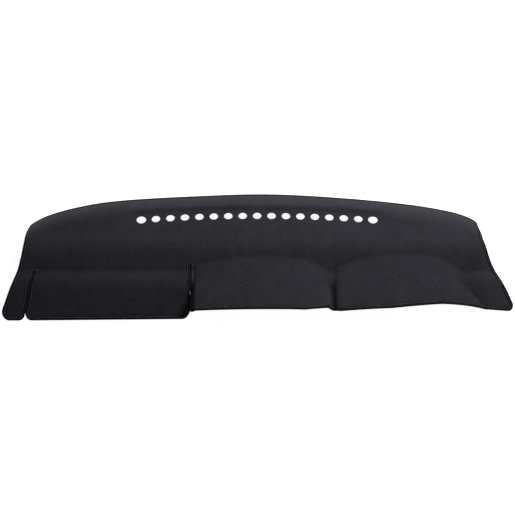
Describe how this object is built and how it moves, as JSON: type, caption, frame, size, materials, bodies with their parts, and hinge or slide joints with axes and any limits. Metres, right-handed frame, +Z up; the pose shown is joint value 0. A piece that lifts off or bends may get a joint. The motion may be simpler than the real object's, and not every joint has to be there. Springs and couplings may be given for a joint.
{
  "type": "dashboard cover mat",
  "caption": "Formed flannel cover mat for a vehicle dashboard, with raised hoods, slit flaps, a bound edge and a row of vent holes.",
  "frame": {"origin": "on the floor below the middle of the mat's box, as it lies at rest", "axes": "+X to the right as seen from the seats, +Y towards the windscreen, +Z up"},
  "size_m": [1.362, 0.3796, 0.0812],
  "materials": {
    "flannel": "matte short pile",
    "binding_tape": "matte woven tape",
    "hook_tape": "matte hooks"
  },
  "bodies": {
    "root": {"mat_panel": "flannel", "binding_rear": "binding_tape", "binding_left_end": "binding_tape", "binding_tongue": "binding_tape", "binding_flap_left": "binding_tape", "binding_flap": "binding_tape", "binding_flap_right": "binding_tape", "binding_hood_left": "binding_tape", "binding_centre_hood": "binding_tape", "binding_driver_hood": "binding_tape", "binding_right_end": "binding_tape", "hook_pad_rear_left": "hook_tape", "hook_pad_mid_left": "hook_tape", "hook_pad_mid_right": "hook_tape", "hook_pad_rear_right": "hook_tape", "hook_pad_flap_left": "hook_tape", "hook_pad_flap_right": "hook_tape"}
  },
  "joints": []
}
